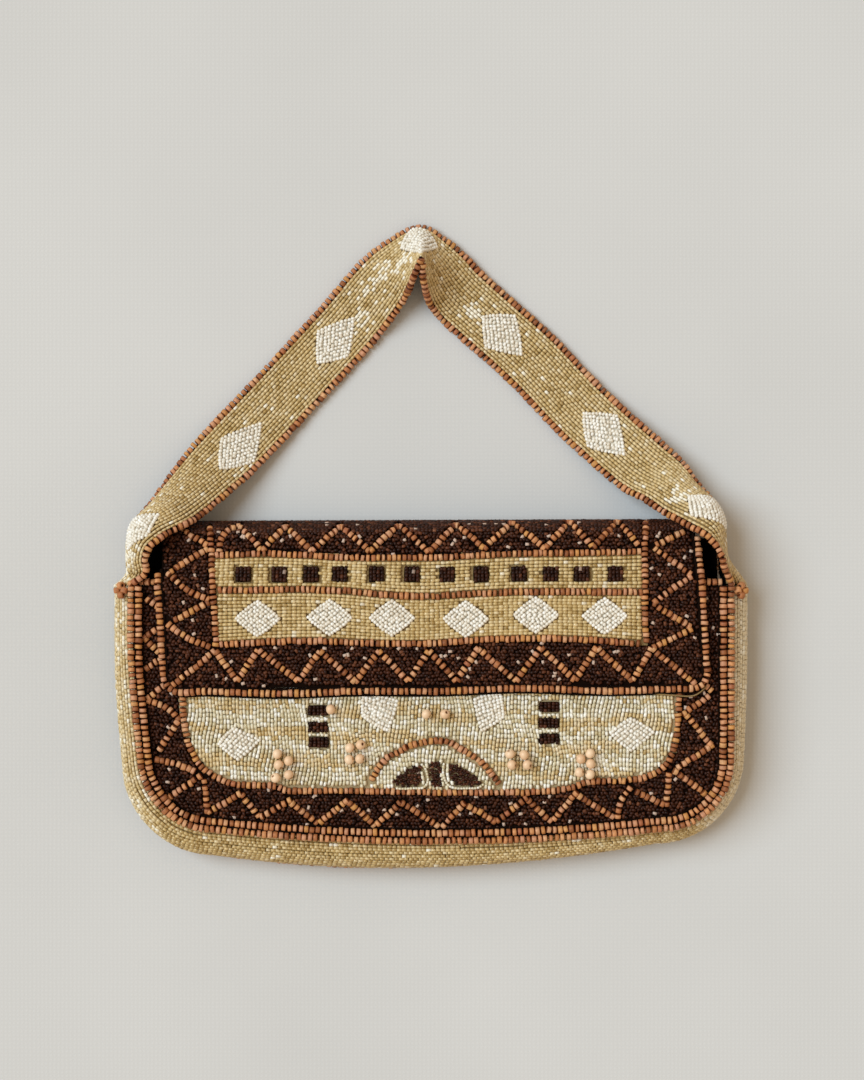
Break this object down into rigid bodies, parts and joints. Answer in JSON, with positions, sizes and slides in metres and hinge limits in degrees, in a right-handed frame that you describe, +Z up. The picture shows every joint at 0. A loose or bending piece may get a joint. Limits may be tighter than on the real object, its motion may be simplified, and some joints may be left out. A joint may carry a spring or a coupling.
{
  "type": "beaded shoulder bag",
  "caption": "Slim beaded shoulder bag lying on its back, with a fold-over flap, rounded bottom corners, a gusset and a wide beaded strap pinched into a pleat at its top.",
  "frame": {"origin": "middle of the footprint, on the surface that the bag's back lies on", "axes": "+Z up, out of the front, +Y from the bag's bottom seam towards the strap's pleat, +X to the viewer's right when facing the front"},
  "size_m": [0.2684, 0.2766, 0.0322],
  "materials": {
    "gold_beadwork": "satin glass beads on cloth",
    "dark_beadwork": "glossy glass beads on cloth",
    "lining_cloth": "matte",
    "wood_beads": "satin",
    "round_beads": "satin"
  },
  "bodies": {
    "root": {"front_panel": "gold_beadwork", "back_panel": "gold_beadwork", "gusset": "gold_beadwork", "strap": "gold_beadwork", "flap": "dark_beadwork", "lining": "lining_cloth", "front_edge_beads_inner": "wood_beads", "front_edge_beads_outer": "wood_beads", "back_edge_beads": "wood_beads", "flap_edge_beads": "wood_beads", "strap_edge_beads_inner": "wood_beads", "strap_edge_beads_outer": "wood_beads", "bead_knot_left": "wood_beads", "bead_knot_right": "wood_beads", "round_bead_01": "round_beads", "round_bead_02": "round_beads", "round_bead_03": "round_beads", "round_bead_04": "round_beads", "round_bead_05": "round_beads", "round_bead_06": "round_beads", "round_bead_07": "round_beads", "round_bead_08": "round_beads", "round_bead_09": "round_beads", "round_bead_10": "round_beads", "round_bead_11": "round_beads", "round_bead_12": "round_beads", "round_bead_13": "round_beads", "round_bead_14": "round_beads", "round_bead_15": "round_beads", "round_bead_16": "round_beads", "round_bead_17": "round_beads", "round_bead_18": "round_beads", "round_bead_19": "round_beads", "round_bead_20": "round_beads", "round_bead_21": "round_beads"}
  },
  "joints": []
}
